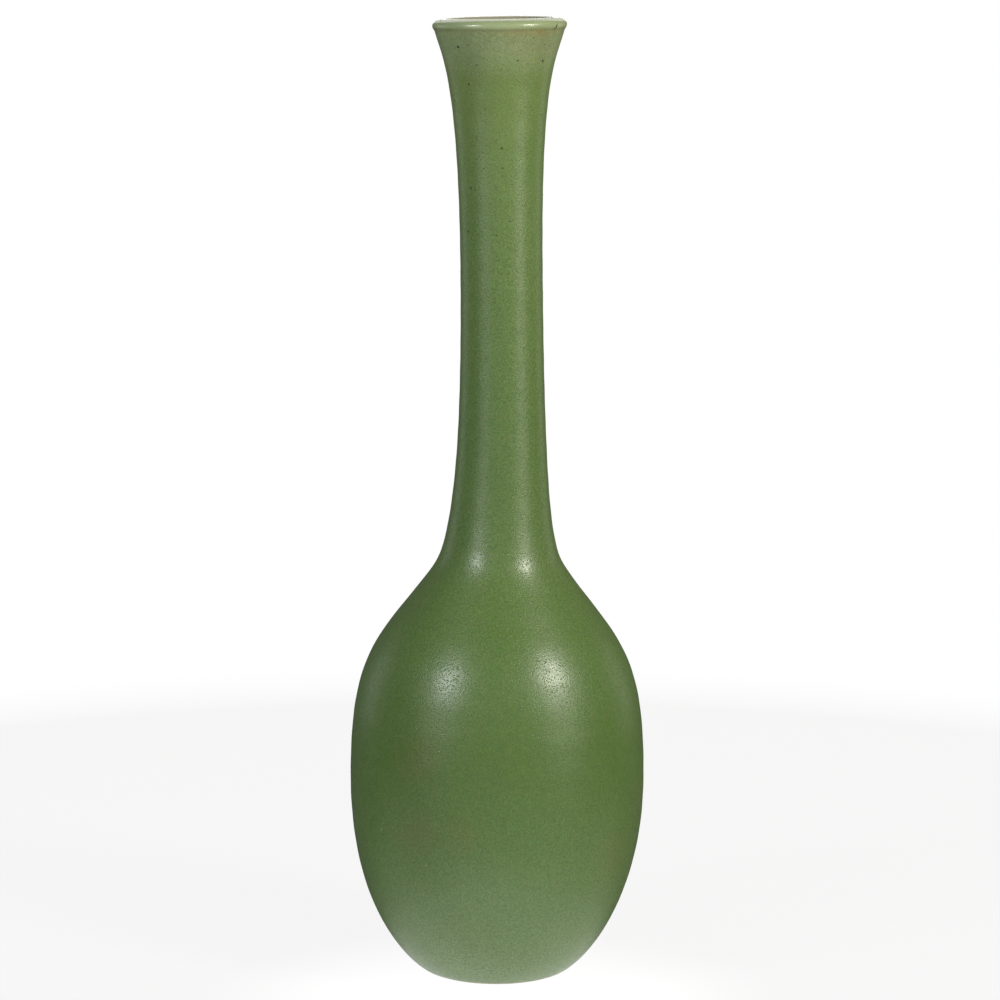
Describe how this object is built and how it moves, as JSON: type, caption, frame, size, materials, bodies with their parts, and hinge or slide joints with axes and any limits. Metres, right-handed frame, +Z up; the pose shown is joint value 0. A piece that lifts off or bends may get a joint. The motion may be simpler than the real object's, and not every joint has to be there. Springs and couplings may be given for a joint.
{
  "type": "sake bottle",
  "caption": "Tall stoneware sake bottle: ovoid body on a turned foot ring, long slender luted neck flaring to a rounded lip, green satin-matt glaze outside, pale liner glaze inside.",
  "frame": {"origin": "centre of the foot ring on the surface that the bottle stands on", "axes": "+Z up along the bottle's axis of turning; X and Y are equivalent, and the front faces -Y"},
  "size_m": [0.0864, 0.0864, 0.28],
  "materials": {
    "stoneware": "fired buff stoneware, unglazed",
    "slip": "fired slip",
    "green_glaze": "satin-matt green glaze",
    "liner": "pale cream-green glaze"
  },
  "bodies": {
    "root": {"clay_body": "stoneware", "clay_neck": "stoneware", "luting_slip": "slip", "outer_glaze": "green_glaze", "liner_glaze": "liner", "base_glaze": "green_glaze"}
  },
  "joints": []
}
